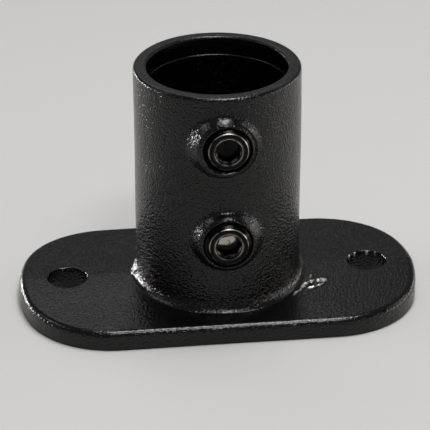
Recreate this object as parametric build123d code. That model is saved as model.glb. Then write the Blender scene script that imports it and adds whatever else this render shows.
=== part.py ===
from build123d import *
import os
from math import asin, cos, degrees, radians, sin, tan

# Tube clamp base flange: an iron casting that holds the foot of a round tube upright
# on a floor or wall, with two hexagon socket set screws that grip the tube.
# The origin is on the tube's axis at the underside. +Z runs up the tube, +X runs
# along the flange, and the set screws face -Y. Millimetres and degrees.

# Tube socket
tube_diameter = 48.3
tube_clearance = 0.45  # radial, in the grip below the mouth
collar_wall = 5.1
mouth_depth = 6.6
mouth_relief = 0.3  # radial, the step from the mouth down to the grip
stop_width = 3.1  # radial, the lip that the tube's end stands on
stop_height = 4.5
rim_chamfer = 0.85  # outside
mouth_chamfer = 0.5  # inside

# Flange
flange_thickness = 9.0  # on the centre line, where the two halves of the mould met
draft_angle = 2.6  # the top falls away from the centre line at this angle
crest_radius = 30.0
side_ledge = 10.0  # from the collar out to the flange's straight side
hole_spacing = 110.5
hole_diameter = 14.5  # clears an M12 anchor
hole_edge = 0.5
end_margin = 17.5  # from a hole's axis to the flange's end
end_radius = 59.0
corner_pitch = 14.0  # between the centres of the two corner arcs of one end
top_chamfer = 1.7
bottom_chamfer = 0.4
foot_fillet = 2.0

# Set screw bosses
lower_rise = 27.0  # from the top of the flange to the lower screw's axis
screw_spacing = 36.2
rim_margin = 18.3  # from the upper screw's axis to the rim
boss_diameter = 24.0
boss_height = 3.6
boss_rounding = 2.2
upper_boss_shift = -1.0  # in X, how far it stands off the hole drilled in it
countersink = 1.05  # radial, and as deep

# Set screws, 3/8 inch pipe thread
thread_diameter = 16.66
thread_gap = 0.05  # radial, between a screw and its hole
point_gap = 0.15  # from a flush screw's point back to the grip's wall
end_chamfer = 1.7
key_size = 8.0  # across the socket's flats
key_depth = 4.2
key_lead = 0.9  # radial, the cone that leads the key in
key_lead_angle = 30.0
point_chamfer = 1.2
upper_stand = 0.1  # how far the screw's face stands out of its boss
lower_stand = 1.1
upper_turn = 2.0  # how far a corner of the socket is turned from straight down
lower_turn = -20.0

# Gate stub, a mark that casting left at the collar's foot
gate_diameter = 10.0
gate_face_diameter = 4.4
gate_height = 2.1

grip_radius = tube_diameter / 2 + tube_clearance
mouth_radius = grip_radius + mouth_relief
collar_radius = grip_radius + collar_wall
flange_width = 2 * (collar_radius + side_ledge)
flange_length = hole_spacing + 2 * end_margin
lower_height = flange_thickness + lower_rise
upper_height = lower_height + screw_spacing
rim_height = upper_height + rim_margin
boss_face = collar_radius + boss_height
screw_radius = thread_diameter / 2
screw_hole_radius = screw_radius + thread_gap
screw_length = collar_wall + boss_height + upper_stand - point_gap
past = 1.0  # how far a cutter runs past the face that it opens


def screw_plane(height, distance):
    """A plane square to a screw's axis, with its Z out of the boss and its Y upward."""
    return Plane(origin=(0, -distance, height), x_dir=(1, 0, 0), z_dir=(0, -1, 0))


def flange_outline():
    """The flange's plan: straight sides, round corners, and a flatter arc across each end."""
    corner_radius = (flange_width - corner_pitch) / 2
    end_x = flange_length / 2 - end_radius
    swing = degrees(asin(corner_pitch / 2 / (end_radius - corner_radius)))
    corner_x = end_x + (end_radius - corner_radius) * cos(radians(swing))
    corner_y = corner_pitch / 2
    side_y = flange_width / 2
    right_end = [
        CenterArc((corner_x, corner_y), corner_radius, swing, 90 - swing),
        CenterArc((end_x, 0), end_radius, -swing, 2 * swing),
        CenterArc((corner_x, -corner_y), corner_radius, -90, 90 - swing),
    ]
    left_end = [mirror(arc, about=Plane.YZ) for arc in right_end]
    sides = [Line((-corner_x, y), (corner_x, y)) for y in (-side_y, side_y)]
    return make_face(right_end + left_end + sides)


def top_height(y):
    """Height of the drafted top beyond its crest."""
    slope = radians(draft_angle)
    return flange_thickness + crest_radius * (1 / cos(slope) - 1) - abs(y) * tan(slope)


def flange_plate():
    """The drafted plate: its two top slopes meet in a round crest, and its edges are broken."""
    side_y = flange_width / 2
    crest_y = crest_radius * sin(radians(draft_angle))
    shoulders = Polyline(
        (-crest_y, top_height(crest_y)),
        (-side_y, top_height(side_y)),
        (-side_y, 0),
        (side_y, 0),
        (side_y, top_height(side_y)),
        (crest_y, top_height(crest_y)),
    )
    crest = ThreePointArc(shoulders @ 0, (0, flange_thickness), shoulders @ 1)
    roof = extrude(Plane.YZ * make_face([shoulders, crest]), flange_length / 2, both=True)
    plate = extrude(flange_outline(), flange_thickness) & roof
    walls = plate.faces().filter_by(lambda face: abs(face.normal_at().Z) < 0.1)
    top_edges = walls.edges().filter_by(lambda edge: edge.bounding_box().min.Z > flange_thickness / 2)
    plate = chamfer(top_edges, top_chamfer)
    return chamfer(plate.faces().sort_by(Axis.Z)[0].edges(), bottom_chamfer)


def collar():
    """The outside of the tube socket, still solid."""
    post = extrude(Circle(collar_radius), rim_height)
    return chamfer(post.faces().sort_by(Axis.Z)[-1].edges(), rim_chamfer)


def boss(height, shift):
    """A round boss from the tube's axis out to its rounded face."""
    post = screw_plane(height, 0) * Pos(shift, 0, 0) * extrude(Circle(boss_diameter / 2), boss_face)
    return fillet(post.faces().sort_by(Axis.Y)[0].edges(), boss_rounding)


def socket_cutter():
    """The inside of the tube socket: the stop's hole, the grip, and the wider mouth."""
    mouth_floor = rim_height - mouth_depth
    profile = Polyline(
        (0, -past),
        (grip_radius - stop_width, -past),
        (grip_radius - stop_width, stop_height),
        (grip_radius, stop_height),
        (grip_radius, mouth_floor - mouth_relief),
        (mouth_radius, mouth_floor),
        (mouth_radius, rim_height - mouth_chamfer),
        (mouth_radius + mouth_chamfer + past, rim_height + past),
        (0, rim_height + past),
        close=True,
    )
    return revolve(Plane.XZ * make_face(profile), Axis.Z)


def screw_hole(height):
    """A set screw's hole, from the tube's axis out through its countersink."""
    profile = Polyline(
        (0, 0),
        (screw_hole_radius, 0),
        (screw_hole_radius, boss_face - countersink),
        (screw_hole_radius + countersink + past, boss_face + past),
        (0, boss_face + past),
        close=True,
    )
    # The profile's second coordinate is the distance out along the screw's axis.
    return screw_plane(height, 0) * revolve(Plane.XZ * make_face(profile), Axis.Z)


def gate_stub():
    """What was left of the gate after fettling: a low cone on the parting line at the foot."""
    foot = Plane(origin=(-collar_radius, 0, flange_thickness), z_dir=(-1, 0, 0))
    sunk = gate_height
    slope = (gate_diameter - gate_face_diameter) / 2 / gate_height
    base_radius = gate_diameter / 2 + sunk * slope
    return foot * Pos(0, 0, -sunk) * Cone(
        base_radius, gate_face_diameter / 2, gate_height + sunk, align=(Align.CENTER, Align.CENTER, Align.MIN)
    )


def flange_body():
    """The casting, with the screw holes, the tube socket and the anchor holes cut in it."""
    plate = flange_plate()
    post = collar()
    body = plate + post
    foot = new_edges(plate, post, combined=body).filter_by(lambda edge: edge.center().Z > past)
    body = fillet(foot, foot_fillet)
    body += boss(lower_height, 0) + boss(upper_height, upper_boss_shift) + gate_stub()
    body -= socket_cutter()
    for height in (lower_height, upper_height):
        body -= screw_hole(height)
    for x in (-hole_spacing / 2, hole_spacing / 2):
        hole = Pos(x, 0, -past) * extrude(Circle(hole_diameter / 2), flange_thickness + 2 * past)
        pierced = body - hole
        body = chamfer(new_edges(body, hole, combined=pierced), hole_edge)
    return body


def set_screw(height, stand, turn):
    """A headless screw with a key socket in its outer end and a flat point."""
    lead_radius = key_size / 2 + key_lead
    lead_depth = key_lead * tan(radians(key_lead_angle))
    profile = Polyline(
        (0, -lead_depth),
        (key_size / 2, -lead_depth),
        (lead_radius, 0),
        (screw_radius - end_chamfer, 0),
        (screw_radius, -end_chamfer),
        (screw_radius, point_chamfer - screw_length),
        (screw_radius - point_chamfer, -screw_length),
        (0, -screw_length),
        close=True,
    )
    blank = revolve(Plane.XZ * make_face(profile), Axis.Z)
    hexagon = RegularPolygon(key_size / 2, 6, major_radius=False, rotation=-90 + turn)
    socket = Pos(0, 0, -key_depth) * extrude(hexagon, key_depth + past)
    return screw_plane(height, boss_face + stand) * (blank - socket)


os.makedirs("parts", exist_ok=True)
nodes = {
    "flange_body": flange_body(),
    "lower_set_screw": set_screw(lower_height, lower_stand, lower_turn),
    "upper_set_screw": set_screw(upper_height, upper_stand, upper_turn),
}
for name, solid in nodes.items():
    export_step(solid, f"parts/{name}.step")
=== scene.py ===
import bmesh
import bpy
import numpy as np
from math import radians
from mathutils import Matrix, Vector


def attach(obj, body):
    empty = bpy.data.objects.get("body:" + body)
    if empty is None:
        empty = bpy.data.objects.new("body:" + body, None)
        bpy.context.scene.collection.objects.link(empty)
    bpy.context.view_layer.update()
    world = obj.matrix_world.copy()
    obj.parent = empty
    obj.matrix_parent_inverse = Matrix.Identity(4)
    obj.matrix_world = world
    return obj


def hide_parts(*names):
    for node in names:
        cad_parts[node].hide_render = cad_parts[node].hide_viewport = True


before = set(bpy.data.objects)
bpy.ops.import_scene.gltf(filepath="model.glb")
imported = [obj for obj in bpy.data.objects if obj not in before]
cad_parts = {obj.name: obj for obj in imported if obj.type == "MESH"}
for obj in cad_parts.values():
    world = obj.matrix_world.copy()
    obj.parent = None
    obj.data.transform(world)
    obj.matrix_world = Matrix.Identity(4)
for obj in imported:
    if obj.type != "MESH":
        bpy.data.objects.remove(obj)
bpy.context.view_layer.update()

# ---- The room -------------------------------------------------------------------
# A pale painted floor that runs far out, soft lamps round the part, and a long lens
# that looks down on it from the front. Nothing here belongs to the part.

mm = 0.001  # lengths are written in millimetres, and angles in degrees
scene = bpy.context.scene
scene.view_settings.view_transform = "Standard"

camera_round, camera_rise, camera_tilt = -6.54, 27.57, -0.19  # from the front, from level, and rolled
camera_aim, camera_distance = (-0.96, 0.11, 30.89), 806.1

lens = bpy.data.cameras.new("camera")
lens.sensor_width = 36.0
lens.lens = 186.0
camera = bpy.data.objects.new("camera", lens)
turn_round, turn_up = radians(camera_round), radians(90 - camera_rise)
camera_turn = Matrix.Rotation(turn_round, 3, "Z") @ Matrix.Rotation(turn_up, 3, "X")
camera_place = Vector(camera_aim) * mm + camera_turn @ Vector((0, 0, camera_distance * mm))
camera_roll = Matrix.Rotation(radians(camera_tilt), 3, "Z")
camera.matrix_world = Matrix.Translation(camera_place) @ (camera_turn @ camera_roll).to_4x4()
scene.collection.objects.link(camera)
scene.camera = camera


def linear(colour):
    """An sRGB hex colour as linear RGBA: each channel is undone with the sRGB curve."""
    values = np.array([int(colour[i:i + 2], 16) for i in (1, 3, 5)]) / 255
    values = np.where(values <= 0.04045, values / 12.92, ((values + 0.055) / 1.055) ** 2.4)
    return (*values.tolist(), 1.0)


def add_node(tree, kind, settings, links):
    """Add one node: set its own settings, set or link its inputs, and return it."""
    node = tree.nodes.new(kind)
    for name, value in settings.items():
        setattr(node, name, value)
    for name, value in links.items():
        if isinstance(value, bpy.types.NodeSocket):
            tree.links.new(value, node.inputs[name])
        else:
            node.inputs[name].default_value = value
    return node


def new_material(name):
    """A material without any nodes yet, and its node tree."""
    material = bpy.data.materials.new(name)
    material.use_nodes = True
    tree = material.node_tree
    tree.nodes.clear()
    return material, tree


# Matt floor paint: pale, even, and without gloss, so that only the shadow marks it.
floor_paint, tree = new_material("matt_floor_paint")
paint = add_node(tree, "ShaderNodeBsdfPrincipled", {}, {"Base Color": linear("#BFBEBC"), "Roughness": 0.9})
add_node(tree, "ShaderNodeOutputMaterial", {}, {"Surface": paint.outputs["BSDF"]})

far = 6000 * mm
floor_mesh = bpy.data.meshes.new("floor")
floor_mesh.from_pydata([(-far, -far, 0), (far, -far, 0), (far, far, 0), (-far, far, 0)], [], [(0, 1, 2, 3)])
floor_mesh.materials.append(floor_paint)
floor = bpy.data.objects.new("floor", floor_mesh)
scene.collection.objects.link(floor)


def add_lamp(name, place, aim, width, height, power, colour):
    """A soft rectangular lamp at a place, facing what it aims at, with its power in watts."""
    light = bpy.data.lights.new(name, "AREA")
    light.shape = "RECTANGLE"
    light.size, light.size_y = width * mm, height * mm
    light.energy = power
    light.color = linear(colour)[:3]
    lamp = bpy.data.objects.new(name, light)
    place, aim = Vector(place) * mm, Vector(aim) * mm
    facing = (place - aim).to_track_quat("Z", "Y").to_matrix().to_4x4()
    lamp.matrix_world = Matrix.Translation(place) @ facing
    lamp.visible_camera = False  # a lamp lights other views, but does not stand in them
    scene.collection.objects.link(lamp)


# Two low lamps catch the coat's grain from the sides. The others hang high: they light the
# floor, and show on the rims and on the tops of the bosses.
add_lamp("low_window", (-1100, 970, 75), (0, 0, 60), 925, 130, 20, "#FFFFFF")
add_lamp("warm_wall", (1000, 0, 95), (0, 0, 60), 1600, 170, 4.8, "#EFE6DE")
add_lamp("ceiling", (110, 20, 1100), (110, 20, 0), 520, 300, 5.6, "#FFFFFF")
add_lamp("front_sky", (110, -540, 1010), (0, -30, 60), 520, 110, 2.6, "#FFFFFF")
add_lamp("left_sky", (-1000, 120, 900), (0, 0, 40), 480, 300, 1.3, "#FFFFFF")
add_lamp("right_sky", (1000, 200, 620), (0, 0, 40), 480, 300, 0.9, "#F4F4FF")
add_lamp("ceiling_strip", (112, -200, 1090), (112, -200, 0), 60, 1300, 3.8, "#FFFFFF")
add_lamp("skylight", (-40, 780, 740), (0, 0, 0), 480, 280, 0.5, "#FFFFFF")

room = bpy.data.worlds.new("room")
room.use_nodes = True
room_light = room.node_tree.nodes["Background"]
room_light.inputs["Color"].default_value = linear("#D8D8D8")
room_light.inputs["Strength"].default_value = 0.27
scene.world = room

# ---- The casting ----------------------------------------------------------------
# One iron casting from a sand mould parted along the flange: an upright socket for
# the tube, two bosses that are drilled and tapped for the set screws, and a drafted
# flange with two drilled holes. It is powder coated black all over.

# Socket. Its mouth is a little wider than the grip below, and a lip at the foot stops the tube.
rim_height, rim_rounding, collar_radius = 90.5, 1.2, 29.7
mouth_radius, mouth_depth, mouth_rounding = 24.9, 6.6, 0.9
grip_radius, ledge_rounding, ledge_depth = 24.6, 0.6, 0.8
stop_radius, stop_height = 21.5, 4.5
foot_width, foot_rise, foot_crease = 2.2, 4.2, 1.1  # the fillet between collar and flange

# Flange. Each end is a flat arc between two round corners.
flange_thickness, draft, crest_radius = 9.0, radians(2.6), 30.0
half_length, side_y = 72.75, 39.7
corner_radius, corner_x, corner_y = 32.7, 39.1, 7.0
end_radius = 59.0
end_x = half_length - end_radius
edge_rounding, bottom_rounding = 2.4, 0.4
hole_x, hole_radius, hole_edge = 55.25, 7.25, 0.5

# Bosses
bosses = ((36.0, 0.0), (72.2, -1.0))  # height of the hole, and how far the boss stands off it in X
boss_radius, boss_face, boss_rounding, boss_fillet, boss_draft = 10.3, 33.3, 2.8, 1.2, radians(27)
boss_turn = 0.89  # share of a quarter turn's sine that the domed edge goes through
drill_radius, countersink, lip_rounding = 8.38, 1.05, 0.45
thread_pitch, groove_depth = 25.4 / 19, 0.4  # 3/8 inch pipe thread

# The skin is made of grids of points. Most have one column for each bearing round the socket.
columns, first_turn = 240, -45
turns = first_turn + 360 / columns * np.arange(columns)  # bearings of the columns, from +X
side_columns = columns // 4  # along each side of a rectangle round the socket


def drawn_together(count, step):
    """Shifts for a run of columns: a sine that leaves its ends in place and draws its middle columns
    together, to a third of their step."""
    swing = 2 * np.pi * (np.arange(count) / count - 0.5)
    return -0.66 * count * step / (2 * np.pi) * np.sin(swing)


scar_columns = 28  # the columns from the front corner to just before the +X side
turns[:scar_columns] += drawn_together(scar_columns, 360 / columns)

# Round each boss a window is left in the socket's rings, and the grids in it have one column for
# each spoke round the hole. The first spoke runs to the window's lower right corner.
upright_spokes, level_spokes, first_spoke = 32, 48, -36
spokes = 2 * (upright_spokes + level_spokes)
spoke_angles = np.radians(first_spoke + 360 / spokes * np.arange(spokes))  # from +X, seen from the front
spoke_x, spoke_z = np.cos(spoke_angles), np.sin(spoke_angles)
window_turn, collar_window, grip_window = 36, 15.2, 11.0  # half its width in degrees, half its heights

patches = []  # each a grid of points, and whether its columns close into a ring


def add_patch(grid, closed=True):
    """Keep a grid of points for the casting's skin."""
    patches.append((grid, closed))


def flange_top(y):
    """Height of the flange: a round crest over the centre line, then a fall at the draft."""
    crest_y = crest_radius * np.sin(draft)
    slope = flange_thickness + crest_radius * (1 / np.cos(draft) - 1) - np.abs(y) * np.tan(draft)
    crown = flange_thickness - crest_radius + np.sqrt(crest_radius**2 - np.minimum(np.abs(y), crest_y) ** 2)
    return np.where(np.abs(y) < crest_y, crown, slope)


def on_cylinder(radius, bearing, height):
    """Points at a radius, a bearing in degrees and a height, as an array of XYZ."""
    bearing = np.radians(bearing)
    x, y = radius * np.cos(bearing), radius * np.sin(bearing)
    return np.stack(np.broadcast_arrays(x, y, height), axis=-1)


def on_spokes(radius, reach, height, shift=0.0):
    """Points on the spokes at a radius from a hole's axis, or from one shifted off it in X, and at a
    reach out from the tube's axis, as an array of XYZ."""
    return np.stack(np.broadcast_arrays(shift + radius * spoke_x, -reach, height + radius * spoke_z), axis=-1)


def front_reach(radius, across):
    """How far out a cylinder's front stands at a distance across: the other leg of a right triangle."""
    return np.sqrt(radius**2 - across**2)


def around(profile):
    """A profile of (radius, height) rows carried round the tube's axis, one row of points each."""
    radius, height = np.array(profile, float).T[:, :, None]
    return on_cylinder(radius, turns[None, :], height)


def arc(centre, radius, start, end, steps):
    """Points on an arc in a (radius, height) section, from one angle to another in degrees."""
    angle = np.radians(np.linspace(start, end, steps + 1))
    return np.stack([centre[0] + radius * np.cos(angle), centre[1] + radius * np.sin(angle)], axis=-1)


def between(first, last, steps, power=1.0):
    """Rows of points that run straight from one line of points to another, and that lie closer
    together near the first where the power is above 1."""
    share = np.linspace(0, 1, steps + 1)[:, None, None] ** power
    return first[None] * (1 - share) + last[None] * share


def bend(start, corner, end, steps):
    """Rows on the curve that leaves start towards the corner and reaches end from it: the three are
    weighted by (1 - t) squared, 2 t (1 - t) and t squared."""
    start, corner, end = np.array(start), np.array(corner), np.array(end)
    share = np.linspace(0, 1, steps + 1).reshape(-1, *[1] * start.ndim)
    return (1 - share) ** 2 * start + 2 * share * (1 - share) * corner + share**2 * end


def window(radius, low, high):
    """The outline of a window in a cylinder's front, one point for each spoke: up, across, down, back."""
    up = np.linspace(low, high, upright_spokes + 1)
    across = np.linspace(-90 + window_turn, -90 - window_turn, level_spokes + 1)
    right, left = np.full(upright_spokes, across[0]), np.full(upright_spokes, across[-1])
    top, bottom = np.full(level_spokes, high), np.full(level_spokes, low)
    bearing = np.concatenate([right, across[:-1], left, across[:0:-1]])
    height = np.concatenate([up[:-1], top, up[:0:-1], bottom])
    return on_cylinder(radius, bearing, height)


def to_window(ring, radius, height, half_height, steps):
    """Rows from a ring round a hole out to its window, with each point then moved level, away from
    the tube's axis or towards it, until it lies on the cylinder."""
    grid = between(ring, window(radius, height - half_height, height + half_height), steps)
    spread = np.hypot(grid[..., 0], grid[..., 1])
    grid[..., :2] *= (radius / spread)[..., None]
    return grid


def boss_height(across, up, shift):
    """How far out a boss reaches: flat, then round down to its drafted side."""
    distance = np.hypot(across - shift, up)
    fall = np.clip((distance - boss_radius) / boss_rounding + 1, 0, 1)
    return boss_face - boss_rounding * (1 - np.sqrt(1 - (boss_turn * fall) ** 2))


def smooth_least(a, b, width):
    """The lesser of two heights, with the crease between them rounded over a width."""
    blend = np.clip(0.5 + 0.5 * (b - a) / width, 0, 1)
    return b + (a - b) * blend - width * blend * (1 - blend)


# The two tapped holes with their bosses. Every line runs along one spoke: in from the
# tube's grip, out through the thread and its countersink, over the boss and down its side.
cut_rows = np.concatenate([[0, 0.12, 0.22], np.linspace(0.3, 1.8, 14)])[:, None]  # in countersink widths
edge_rows = np.sin(np.radians(np.linspace(0, 90, 13)[1:]))[:, None]  # shares of the way out to the side
thread_rows = np.linspace(0, 1, 43)[:, None]  # shares of the way out along the hole
shoulder = boss_height(boss_radius, 0.0, 0.0)  # how far out the boss's drafted side begins
for height, shift in bosses:
    # Grip wall round the hole's inner end
    inner_reach = front_reach(grip_radius, drill_radius * spoke_x)
    hole_ring = on_spokes(drill_radius, inner_reach, height)
    add_patch(to_window(hole_ring, grip_radius, height, grip_window, steps=5))

    # Tapped wall: a groove that winds along the hole, fading out at both ends
    outer_reach = boss_face - countersink
    reach = inner_reach + (outer_reach - inner_reach) * thread_rows
    wave = np.cos(spoke_angles - 2 * np.pi * reach / thread_pitch)
    fade = np.clip(12 * thread_rows * (1 - thread_rows), 0, 1)
    add_patch(on_spokes(drill_radius + groove_depth / 2 * (1 + wave) * fade, reach, height))

    # Countersink, face and domed edge
    cut = drill_radius + countersink * cut_rows
    cut_x, cut_z = cut * spoke_x, cut * spoke_z
    edge_x, edge_z = shift + boss_radius * spoke_x, boss_radius * spoke_z
    across = np.concatenate([cut_x, cut_x[-1] + (edge_x - cut_x[-1]) * edge_rows])
    up = np.concatenate([cut_z, cut_z[-1] + (edge_z - cut_z[-1]) * edge_rows])
    cone = outer_reach + np.hypot(across, up) - drill_radius
    reach = smooth_least(boss_height(across, up, shift), cone, lip_rounding)
    reach[0] = outer_reach
    add_patch(np.stack([across, -reach, height + up], axis=-1))

    # Side of the boss, and the fillet at its foot: a curve that leaves the side on its draft and
    # meets the collar on its slope. Each round brings the foot nearer to where side and collar meet.
    foot_radius = boss_radius
    for _ in range(6):
        foot_reach = front_reach(collar_radius, shift + foot_radius * spoke_x)
        foot_radius = boss_radius + (shoulder - foot_reach) * np.tan(boss_draft)
    run = np.minimum(boss_fillet, 0.7 * (shoulder - foot_reach) / np.cos(boss_draft))
    start_radius, start_reach = foot_radius - run * np.sin(boss_draft), foot_reach + run * np.cos(boss_draft)
    fillet_radius = foot_radius + run
    end_reach = front_reach(collar_radius, shift + fillet_radius * spoke_x)
    start = on_spokes(start_radius, start_reach, height, shift)
    corner = on_spokes(foot_radius, foot_reach, height, shift)
    end = on_spokes(fillet_radius, end_reach, height, shift)
    add_patch(between(on_spokes(boss_radius, shoulder, height, shift), start, steps=2))
    add_patch(bend(start, corner, end, steps=7))
    add_patch(to_window(end, collar_radius, height, collar_window, steps=7))


# The socket's outside and its grip: whole rings between the windows, and open strips
# beside them that go round the back from one side of a window to the other.
window_right, window_left = -90 + window_turn, 270 - window_turn
front_turns = np.arange(window_right, first_turn, 360 / columns)
back_turns = np.concatenate([front_turns, turns[turns < window_left + 0.5]])
foot_height = flange_top(collar_radius * np.sin(np.radians(turns))) + foot_rise
for radius, half_height, lowest, highest in (
    (collar_radius, collar_window, foot_height, rim_height - rim_rounding),
    (grip_radius, grip_window, stop_height, rim_height - mouth_depth - ledge_depth),
):
    edges = [lowest, *(height + side * half_height for height, shift in bosses for side in (-1, 1)), highest]
    for number, steps in enumerate((14, upright_spokes, 6, upright_spokes, 2)):
        beside_window = number in (1, 3)
        bearing = back_turns if beside_window else turns
        bottom = on_cylinder(radius, bearing, edges[number])
        top = on_cylinder(radius, bearing, edges[number + 1])
        add_patch(between(bottom, top, steps, 1.4 if number == 0 else 1.0), closed=not beside_window)

# The rim, the mouth and the ledge below it, then the lip that the tube stands on. Single
# points are rows on the flats and the walls between the arcs.
mouth_top, mouth_floor = rim_height - mouth_rounding, rim_height - mouth_depth
add_patch(around(np.concatenate([
    arc((collar_radius - rim_rounding, rim_height - rim_rounding), rim_rounding, 0, 90, 8),
    [(27.6, rim_height), (26.6, rim_height)],
    arc((mouth_radius + mouth_rounding, mouth_top), mouth_rounding, 90, 180, 6),
    [(mouth_radius, mouth_floor + 4), (mouth_radius, mouth_floor + 2), (mouth_radius, mouth_floor + 0.1)],
    arc((grip_radius + ledge_rounding, mouth_floor - ledge_depth), ledge_rounding, 62, 180, 6),
])))
add_patch(around([
    (grip_radius, stop_height), (23, stop_height), (stop_radius, stop_height),
    (stop_radius, 2), (stop_radius, 0),
]))

# Fillet at the socket's foot: a curve that leaves the wall straight down and meets the
# flange in a soft crease.
turn_x, turn_y = np.cos(np.radians(turns)), np.sin(np.radians(turns))
foot_rows = np.linspace(0, 1, 10)[:, None]
reach = collar_radius + foot_width * foot_rows**2
corner_height = flange_top(collar_radius * turn_y) + foot_crease
ring_height = flange_top((collar_radius + foot_width) * turn_y)
rise = bend(foot_height, corner_height, ring_height, steps=len(foot_rows) - 1)
add_patch(on_cylinder(reach, turns[None, :], rise))

# Flange outline, once round from the right end's front corner. Each point is an arc's
# centre, the arc's radius, and the way out from the centre; an inset shortens the radius.
end_swing = np.degrees(np.arcsin(corner_y / (end_radius - corner_radius)))
bearing = np.concatenate([
    np.linspace(-90, -end_swing, 37)[:-1],
    np.linspace(-end_swing, end_swing, 25)[:-1],
    np.linspace(end_swing, 90, 37),
])
end_points, side_points = len(bearing), side_columns - 1
end_ways = np.stack([np.cos(np.radians(bearing)), np.sin(np.radians(bearing))], axis=-1)
on_end = np.abs(bearing) < end_swing + 1e-6
corner_centres = np.stack([np.full(end_points, corner_x), corner_y * np.sign(bearing)], axis=-1)
end_centres = np.where(on_end[:, None], (end_x, 0), corner_centres)
end_radii = np.where(on_end, end_radius, corner_radius)
side_x = np.linspace(corner_x, -corner_x, side_columns + 1)[1:-1]
side_centres = np.stack([side_x, np.full(side_points, corner_y)], axis=-1)
half_centres = np.concatenate([end_centres, side_centres])
half_ways = np.concatenate([end_ways, np.tile((0.0, 1.0), (side_points, 1))])
centres, ways = np.concatenate([half_centres, -half_centres]), np.concatenate([half_ways, -half_ways])
radii = np.tile(np.concatenate([end_radii, np.full(side_points, corner_radius)]), 2)


def outline(inset):
    """The flange's plan, moved in by an inset."""
    return centres + (radii - inset)[:, None] * ways


# Ways from the right hole to each point of the loop round its end, which a straight line
# across the flange closes
inner_edge = outline(edge_rounding)
cut_y = np.linspace(side_y - edge_rounding, edge_rounding - side_y, side_columns + 1)[1:-1]
end_loop = np.concatenate([inner_edge[:end_points], np.stack([np.full(side_points, corner_x), cut_y], axis=-1)])
from_hole = end_loop - (hole_x, 0)
hole_ways = from_hole / np.hypot(*from_hole.T)[:, None]


def plate_face(inset, ring_radius, hole_ring, rows, end_rows, height_of):
    """One face of the plate in three parts, each straight from a ring to a loop: from the socket out
    to a rectangle, and round each hole out to the end. Its height follows from y alone."""
    half_width = side_y - inset
    cut = np.linspace(-half_width, half_width, side_columns + 1)[:-1]
    cut[:scar_columns] += drawn_together(scar_columns, 2 * half_width / side_columns)
    flat = np.stack([np.full(side_columns, corner_x), cut], axis=-1)
    along = np.linspace(corner_x, -corner_x, side_columns + 1)[:-1]
    wide = np.stack([along, np.full(side_columns, half_width)], axis=-1)
    rectangle = np.concatenate([flat, wide, -flat, -wide])
    circle = ring_radius * np.stack([turn_x, turn_y], axis=-1)
    parts = [between(circle, rectangle, rows, 1.3)]
    loop = np.concatenate([outline(inset)[:end_points], flat[:0:-1]])
    for sign in (1, -1):
        parts.append(between(sign * ((hole_x, 0) + hole_ring * hole_ways), sign * loop, end_rows))
    for part in parts:
        x, y = part[..., 0], part[..., 1]
        add_patch(np.stack([x, y, height_of(y)], axis=-1))


plate_face(
    edge_rounding, collar_radius + foot_width, hole_radius + hole_edge,
    rows=32, end_rows=20, height_of=flange_top,
)
plate_face(bottom_rounding, stop_radius, hole_radius, rows=8, end_rows=8, height_of=np.zeros_like)

# Rounded edge, wall and bottom edge of the flange
edge_top = flange_top(inner_edge[:, 1])
quarter = np.radians(np.linspace(0, 90, 9))[:, None]
low_quarter = np.radians(np.linspace(0, 90, 4))[:, None]
wall_share = np.linspace(0, 1, 5)[1:-1, None]
insets = np.concatenate([
    edge_rounding * (1 - np.sin(quarter)),
    np.zeros_like(wall_share),
    bottom_rounding * (1 - np.cos(low_quarter)),
])
heights = np.concatenate([
    edge_top - edge_rounding * (1 - np.cos(quarter)),
    (edge_top - edge_rounding) * (1 - wall_share) + bottom_rounding * wall_share,
    bottom_rounding * (1 - np.sin(low_quarter)) + np.zeros_like(edge_top),
])
plan = np.stack([outline(inset) for inset in insets[:, 0]])
add_patch(np.concatenate([plan, heights[..., None]], axis=-1))

# Walls of the two anchor holes, with a small rounded edge at the top
for sign in (1, -1):
    rows = []
    top = flange_top(sign * (hole_radius + hole_edge) * hole_ways[:, 1])
    for angle in np.radians((0, 22.5, 45, 67.5, 90)):
        ring = sign * ((hole_x, 0) + (hole_radius + hole_edge * (1 - np.sin(angle))) * hole_ways)
        rows.append(np.column_stack([ring, top - hole_edge * (1 - np.cos(angle))]))
    foot = np.column_stack([rows[-1][:, :2], np.zeros(len(hole_ways))])
    add_patch(np.concatenate([np.stack(rows), between(rows[-1], foot, 5)[1:]]))


def stub(points):
    """Push the skin out where the gate was broken off on the parting line: a cone on a foot a quarter
    taller than wide, cut off by a slanting plane, both roughened with sines where the iron tore."""
    x, y, z = points.T
    stub_y, stub_z, stub_radius, taller = 0.3, 10.6, 5.2, 1.25
    away = np.hypot(y - stub_y, (z - stub_z) / taller)
    rough = 0.35 * np.sin(2.6 * y + 1.0) * np.sin(1.9 * z + 0.4) + 0.25 * np.sin(4.4 * y - 3.1 * z)
    lump = 3.1 * np.clip((4.6 - away) / 3.0, 0, 1)
    cone = collar_radius - 1.0 + lump + rough * np.clip((4.2 - away) / 2, 0, 1)
    torn = -31.4 + 0.6 * (z - stub_z) - 0.25 * y + rough
    near = (x < -29) & (x > -33) & (z > 8) & (away < stub_radius)
    points[:, 0] = np.where(near, smooth_least(x, np.maximum(-cone, torn), 0.5), x)


def bell(*offsets):
    """A bell curve over one or more offsets: e to the power of minus the sum of their squares."""
    return np.exp(-sum(offset**2 for offset in offsets))


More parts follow.
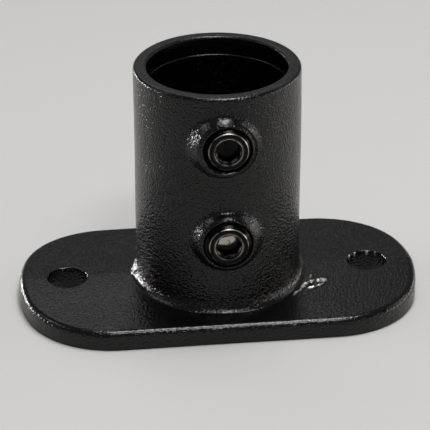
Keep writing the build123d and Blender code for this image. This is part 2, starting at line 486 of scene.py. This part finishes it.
def scar(points):
    """Press in the scar: an ellipse in the flange's top with a torn ridge round it, a ragged tail along
    the socket's foot and a tick beside it, each a bell curve across its line. Gives, from 0 to 1 at each
    point, how much painted highlight is mixed into the coat on the ridges, standing in for glints on them."""
    x, y = points[:, 0], points[:, 1]
    reach, bearing = np.hypot(x, y), np.degrees(np.arctan2(y, x))
    scar_x, scar_y, heading, half_long, half_short = 33.2, -15.0, radians(25), 4.1, 1.75
    across, along = x - scar_x, y - scar_y
    long = across * np.cos(heading) + along * np.sin(heading)
    short = along * np.cos(heading) - across * np.sin(heading)
    edge, angle = np.hypot(long / half_long, short / half_short), np.arctan2(short, long)
    torn = 0.8 + 0.4 * np.sin(5 * angle + 0.6) + 0.3 * np.sin(12 * angle + 2)
    ridge = torn * bell((edge - 1.1) / 0.26)
    ragged = 0.9 + 0.35 * np.sin(1.1 * bearing)
    off_tail = reach - 33.2 - 0.3 * np.sin(0.7 * bearing)
    tail = ragged * bell(off_tail / 0.42, (bearing + 37) / 5.5)
    tick = 0.8 * bell((x - 33.0) / 0.6, (y + 9.6) / 0.9)
    raised = np.maximum(ridge, np.maximum(tail, tick))
    pressed = 0.5 * np.clip(1 - edge**2, 0, 1) ** 0.8
    on_top = (points[:, 2] > 6) & (points[:, 2] < 11) & (reach > collar_radius)
    points[:, 2] += np.where(on_top, 0.6 * raised - pressed, 0)
    return np.where(on_top, np.clip(1.5 * raised - 0.45, 0, 1), 0)


def burrs(points):
    """Small teeth on the anchor holes' top edges, the peaks of two sines round the hole, tallest at the
    back. Gives, from 0 to 1 at each point, how much painted highlight is mixed into the coat on the teeth."""
    highlight_share = np.zeros(len(points))
    for x, tallest in ((-hole_x, 0.15), (hole_x, 0.4)):
        away, angle = np.hypot(points[:, 0] - x, points[:, 1]), np.arctan2(points[:, 1], points[:, 0] - x)
        teeth = np.clip(np.sin(11 * angle + x) + 0.8 * np.sin(17 * angle + 2 * x) - 0.3, 0, 1)
        backward = 0.25 + 0.75 * np.clip(np.sin(angle) * 1.5, 0, 1)
        upward = np.clip((points[:, 2] - 6.6) / 1.2, 0, 1)
        on_wall = np.abs(away - hole_radius) < 0.3
        size = np.where(on_wall, tallest * teeth * backward * upward, 0)
        points[:, 0] -= size * np.cos(angle)
        points[:, 1] -= size * np.sin(angle)
        highlight_share = np.maximum(highlight_share, np.clip(3 * size - 0.4, 0, 1))
    return highlight_share


def unevenness(points):
    """Sand castings are never quite true: two slow sines in each direction, together a tenth of a
    millimetre at most, and none in the tapped holes."""
    x, y, z = points.T
    waves = 0.05 * np.stack([
        np.sin(z / 9.1 + y / 13.7 + 1.0) + np.sin(y / 6.3 - z / 15.1),
        np.sin(x / 8.7 - z / 11.3 + 2.0) + np.sin(x / 14.9 + z / 7.7),
        np.sin(x / 7.9 + y / 10.3 + 0.5) + np.sin(y / 5.7 - x / 17.3),
    ], axis=-1)
    away = np.min([np.hypot(x, z - height) for height, shift in bosses], axis=0)
    return waves * np.where(y < 0, np.clip((away - drill_radius - 0.5) / 3, 0, 1), 1)[:, None]


def grid_faces(rows, wide, first=0, closed=True):
    """Faces between neighbours in a grid whose points are numbered from first, row by row. A closed
    grid has faces from its last column back to its first too."""
    index = first + np.arange(rows * wide).reshape(rows, wide)
    beside = np.roll(index, -1, axis=1) if closed else index[:, 1:]
    index = index if closed else index[:, :-1]
    return np.stack([index[:-1], beside[:-1], beside[1:], index[1:]], axis=-1).reshape(-1, 4)


# Join the patches into one closed skin
points, faces, first = [], [], 0
for grid, closed in patches:
    rows, wide = grid.shape[:2]
    faces.append(grid_faces(rows, wide, first, closed))
    points.append(grid.reshape(-1, 3))
    first += rows * wide
points, faces = np.concatenate(points), np.concatenate(faces)
stub(points)
# Shares of painted highlight on the scar's ridges and the anchor holes' teeth
painted_ridge_highlight = np.maximum(scar(points), burrs(points))
limits = np.array((half_length, side_y, rim_height))
points = np.clip(points + unevenness(points), limits * (-1, -1, 0), limits)


def finished_mesh(name, points, faces, crease, wear_and_painted_highlight):
    """A mesh in metres from points in millimetres: doubles merged, faces turned out, and creases above
    an angle kept sharp. The share of lighter paint at each point, from 0 to 1, partly wear and partly painted
    highlight, is kept as an attribute."""
    mesh = bpy.data.meshes.new(name)
    mesh.from_pydata((points * mm).tolist(), [], faces.tolist())
    mesh.attributes.new("wear_and_painted_highlight", "FLOAT", "POINT").data.foreach_set("value", wear_and_painted_highlight.ravel().astype(np.float32))
    work = bmesh.new()
    work.from_mesh(mesh)
    bmesh.ops.remove_doubles(work, verts=work.verts, dist=0.002 * mm)
    bmesh.ops.recalc_face_normals(work, faces=work.faces)
    work.to_mesh(mesh)
    work.free()
    mesh.shade_smooth()
    mesh.set_sharp_from_angle(angle=radians(crease))
    return mesh


# Black polyester powder coat, sprayed on as a powder and baked: a dark semi-gloss skin
# that softens every edge and keeps a fine grain over the sand-cast iron below.
powder_coat, tree = new_material("black_powder_coat")
place = add_node(tree, "ShaderNodeTexCoord", {}, {})
# The grain is drawn 0.8 mm wide, coarser than the real 0.5 mm, so that it shows. It is deepest on
# upright faces and flattest on slopes, where the powder flowed out, with a little more on level ones
grain = add_node(tree, "ShaderNodeTexNoise", {}, {
    "Vector": place.outputs["Object"], "Scale": 1 / (0.8 * mm), "Detail": 1.0, "Roughness": 0.5,
})
facing = add_node(tree, "ShaderNodeNewGeometry", {}, {})
upward = add_node(tree, "ShaderNodeSeparateXYZ", {}, {"Vector": facing.outputs["True Normal"]})
depth = add_node(tree, "ShaderNodeMapRange", {}, {
    "Value": upward.outputs["Z"], "From Min": 0.4, "From Max": 0.78, "To Min": 1.0, "To Max": 0.26,
})
flats = add_node(tree, "ShaderNodeMapRange", {}, {
    "Value": upward.outputs["Z"], "From Min": 0.94, "From Max": 0.99, "To Min": 0.0, "To Max": 0.18,
})
depth = add_node(tree, "ShaderNodeMath", {"operation": "ADD"}, {
    0: depth.outputs["Result"], 1: flats.outputs["Result"],
})
level = add_node(tree, "ShaderNodeMath", {"operation": "SUBTRACT"}, {0: grain.outputs["Fac"], 1: 0.5})
grain = add_node(tree, "ShaderNodeMath", {"operation": "MULTIPLY"}, {
    0: level.outputs["Value"], 1: depth.outputs["Value"],
})
# Where the mould's halves met, along the flange's middle, a ridge 0.9 mm wide is left
axes = add_node(tree, "ShaderNodeSeparateXYZ", {}, {"Vector": place.outputs["Object"]})
off_middle = add_node(tree, "ShaderNodeMath", {"operation": "ABSOLUTE"}, {0: axes.outputs["Y"]})
ridge = add_node(tree, "ShaderNodeMapRange", {"interpolation_type": "SMOOTHSTEP"}, {
    "Value": off_middle.outputs["Value"], "From Min": 0.0, "From Max": 0.45 * mm, "To Min": 0.12, "To Max": 0.0,
})
relief = add_node(tree, "ShaderNodeMath", {"operation": "ADD"}, {
    0: grain.outputs["Value"], 1: ridge.outputs["Result"],
})
bump = add_node(tree, "ShaderNodeBump", {}, {
    "Height": relief.outputs["Value"], "Strength": 1.0, "Distance": 0.42 * mm,
})
# Painted highlight: on the scar's ridges and the anchor holes' teeth a light, dull metallic grey is mixed into
# the coat, standing in for the glints on them
painted_highlight_marks = add_node(tree, "ShaderNodeAttribute", {"attribute_name": "wear_and_painted_highlight"}, {})
tone = add_node(tree, "ShaderNodeMix", {"data_type": "RGBA"}, {
    "Factor": painted_highlight_marks.outputs["Fac"], "A": linear("#040404"), "B": linear("#D2CFC8"),
})
dull = add_node(tree, "ShaderNodeMath", {"operation": "MULTIPLY_ADD"}, {
    0: painted_highlight_marks.outputs["Fac"], 1: 0.3, 2: 0.16,
})
coat = add_node(tree, "ShaderNodeBsdfPrincipled", {}, {
    "Base Color": tone.outputs["Result"], "Metallic": painted_highlight_marks.outputs["Fac"],
    "Roughness": dull.outputs["Value"], "IOR": 1.4, "Normal": bump.outputs["Normal"],
})
add_node(tree, "ShaderNodeOutputMaterial", {}, {"Surface": coat.outputs["BSDF"]})

casting_mesh = finished_mesh("casting", points, faces, crease=38, wear_and_painted_highlight=painted_ridge_highlight)
casting_mesh.materials.append(powder_coat)
casting = bpy.data.objects.new("casting", casting_mesh)
scene.collection.objects.link(casting)
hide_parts("flange_body")
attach(casting, "casting")

# ---- The set screws -------------------------------------------------------------
# Two headless screws, turned from steel bar, with a cut pipe thread, a hexagon socket
# broached in the outer end, and a plain point that bears on the tube. They are
# blackened in a hot salt bath and oiled, and screwed into the bosses.

screw_radius, screw_root, screw_length = 8.33, 7.475, 8.65
key_radius, key_depth, drill_tip = 4.0, 4.2, 0.6  # half across the flats, and the drill's deeper tip
lead_radius, lead_start, lead_end = 4.9, 4.78, 5.02  # the lead-in's rim, rounded from start to end
lead_slope = np.tan(radians(30))
face_radius, face_end, face_drop = 6.63, 6.45, 0.13  # the chamfer's rim, where and how far it is rounded
point_radius, thread_start, crest_rounding = 7.13, 0.26, 0.12
screw_columns = 144
column_turns = 360 / screw_columns * np.arange(screw_columns)


def screw_points(turn, floor_reflection):
    """The screw's skin in rows from the socket's floor to the point, as x, depth below the face and z:
    a shallow cone, a hexagon, a cone that leads the key in, the face, and the thread as a cosine of
    bearing and depth. Gives too, from 0 to 1 at each point, how much lighter metal is painted in: partly edge
    wear, partly painted highlight and painted reflection."""
    angle = np.radians(-90 + turn + column_turns)
    hexagon = key_radius / np.cos(np.radians(column_turns % 60 - 30))
    level = np.ones(screw_columns)
    # Rows of radii, each with its row of depths
    rows = [(r * level, (key_depth + drill_tip - r / 6) * level) for r in (0, 0.6, 1.2, 1.8, 2.4, 3.0, 3.6)]
    rows += [(hexagon, d * level) for d in np.linspace(key_depth, 0.6, 10)]
    rows += [(r, (lead_radius - r) * lead_slope) for r in (hexagon, (hexagon + lead_start) / 2)]
    face = np.concatenate([
        bend((lead_start, (lead_radius - lead_start) * lead_slope), (lead_radius, 0), (lead_end, 0), 4),
        [(5.6, 0)],
        bend((face_end, 0), (face_radius, 0), (face_radius + face_drop, face_drop), 4),
    ])
    rows += [(r * level, d * level) for r, d in face]
    # Thread of rounded form, turned right-handed: the chamfer and the point cut it away
    thread_depth = np.arange(thread_start, screw_length, thread_pitch / 10)[:, None]
    wave = np.cos(angle + 2 * np.pi * thread_depth / thread_pitch)
    thread = (screw_radius + screw_root) / 2 + (screw_radius - screw_root) / 2 * wave
    side = smooth_least(thread, face_radius + thread_depth, crest_rounding)
    side = smooth_least(side, point_radius + screw_length - thread_depth, crest_rounding)
    rows += [(side_radius, d * level) for side_radius, d in zip(side, thread_depth)]
    rows += [(r * level, screw_length * level) for r in (point_radius, 4, 0)]
    radius, depth = np.stack([r for r, d in rows]), np.stack([d for r, d in rows])
    x, z = radius * np.cos(angle), radius * np.sin(angle)
    # Painted lighter metal: the rims of the lead-in and of the face, partly edge wear and partly painted
    # highlight;
    #     the socket's lower walls below its rim and above its floor, a painted highlight where they face up to
    #     the light;
    #     and on the floor a patch of painted reflection
    wear_and_painted_highlight = 0.7 * bell((radius - lead_radius) / 0.09, depth / 0.25)
    wear_and_painted_highlight += bell((radius - face_radius - 0.2) / 0.1, depth / 0.5)
    in_socket = radius < key_radius / np.cos(np.radians(30)) + 0.01
    below_rim, above_floor = np.clip((depth - 0.3) / 0.4, 0, 1), np.clip((2.4 - depth) / 1.2, 0, 1)
    wear_and_painted_highlight += 0.9 * in_socket * below_rim * above_floor * np.clip(-z, 0, 1)
    on_floor = (depth > key_depth - 0.1) & (radius < key_radius)
    wear_and_painted_highlight += floor_reflection * on_floor * np.clip(1.6 - np.hypot((x + 0.9) / 2.4, (z - 0.9) / 1.4), 0, 1)
    return x, depth, z, wear_and_painted_highlight


# Black oxide on machined steel: a thin dark film that takes the metal's gloss, so turned faces stay smooth.
# The thin warm lines at the edges and the light marks in the socket are lighter metal painted in, partly edge
# wear and partly painted highlight and reflection.
black_oxide, tree = new_material("black_oxide_steel")
place = add_node(tree, "ShaderNodeTexCoord", {}, {})
smear = add_node(tree, "ShaderNodeTexNoise", {}, {
    "Vector": place.outputs["Object"], "Scale": 1 / (2.5 * mm), "Detail": 4.0,
})
gloss = add_node(tree, "ShaderNodeMapRange", {}, {
    "Value": smear.outputs["Fac"], "To Min": 0.14, "To Max": 0.26,
})
# Lighter metal is painted in where the attribute says: partly edge wear, partly painted highlight and painted
# reflection
wear_and_highlight_mask = add_node(tree, "ShaderNodeAttribute", {"attribute_name": "wear_and_painted_highlight"}, {})
rubs = add_node(tree, "ShaderNodeMapRange", {}, {
    "Value": smear.outputs["Fac"], "From Min": 0.3, "From Max": 0.55,
})
patchy = add_node(tree, "ShaderNodeMath", {"operation": "MULTIPLY", "use_clamp": True}, {
    0: wear_and_highlight_mask.outputs["Fac"], 1: rubs.outputs["Result"],
})
tone = add_node(tree, "ShaderNodeMix", {"data_type": "RGBA"}, {
    "Factor": patchy.outputs["Value"], "A": linear("#181717"), "B": linear("#D8D0C6"),
})
rubbed = add_node(tree, "ShaderNodeMath", {"operation": "MULTIPLY_ADD"}, {
    0: patchy.outputs["Value"], 1: 0.3, 2: gloss.outputs["Result"],
})
oxide = add_node(tree, "ShaderNodeBsdfPrincipled", {}, {
    "Base Color": tone.outputs["Result"], "Metallic": 1.0, "Roughness": rubbed.outputs["Value"],
})
add_node(tree, "ShaderNodeOutputMaterial", {}, {"Surface": oxide.outputs["BSDF"]})

# Each screw's height, how far it stands out of its boss, how far it was left turned, and
# how strong the painted reflection on the floor of its key socket is
(lower_height, _), (upper_height, _) = bosses
for name, height, stand, turn, floor_reflection in (
    ("upper", upper_height, 0.1, 2, 0),
    ("lower", lower_height, 1.1, -20, 4),
):
    x, depth, z, wear_and_painted_highlight = screw_points(turn, floor_reflection)
    skin = np.stack([x, depth - boss_face - stand, height + z], axis=-1)
    skin, faces = skin.reshape(-1, 3), grid_faces(*wear_and_painted_highlight.shape)
    mesh = finished_mesh(name + "_set_screw_turned", skin, faces, crease=30, wear_and_painted_highlight=wear_and_painted_highlight)
    mesh.materials.append(black_oxide)
    screw = bpy.data.objects.new(name + "_set_screw_turned", mesh)
    scene.collection.objects.link(screw)
    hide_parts(name + "_set_screw")
    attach(screw, name + "_screw")
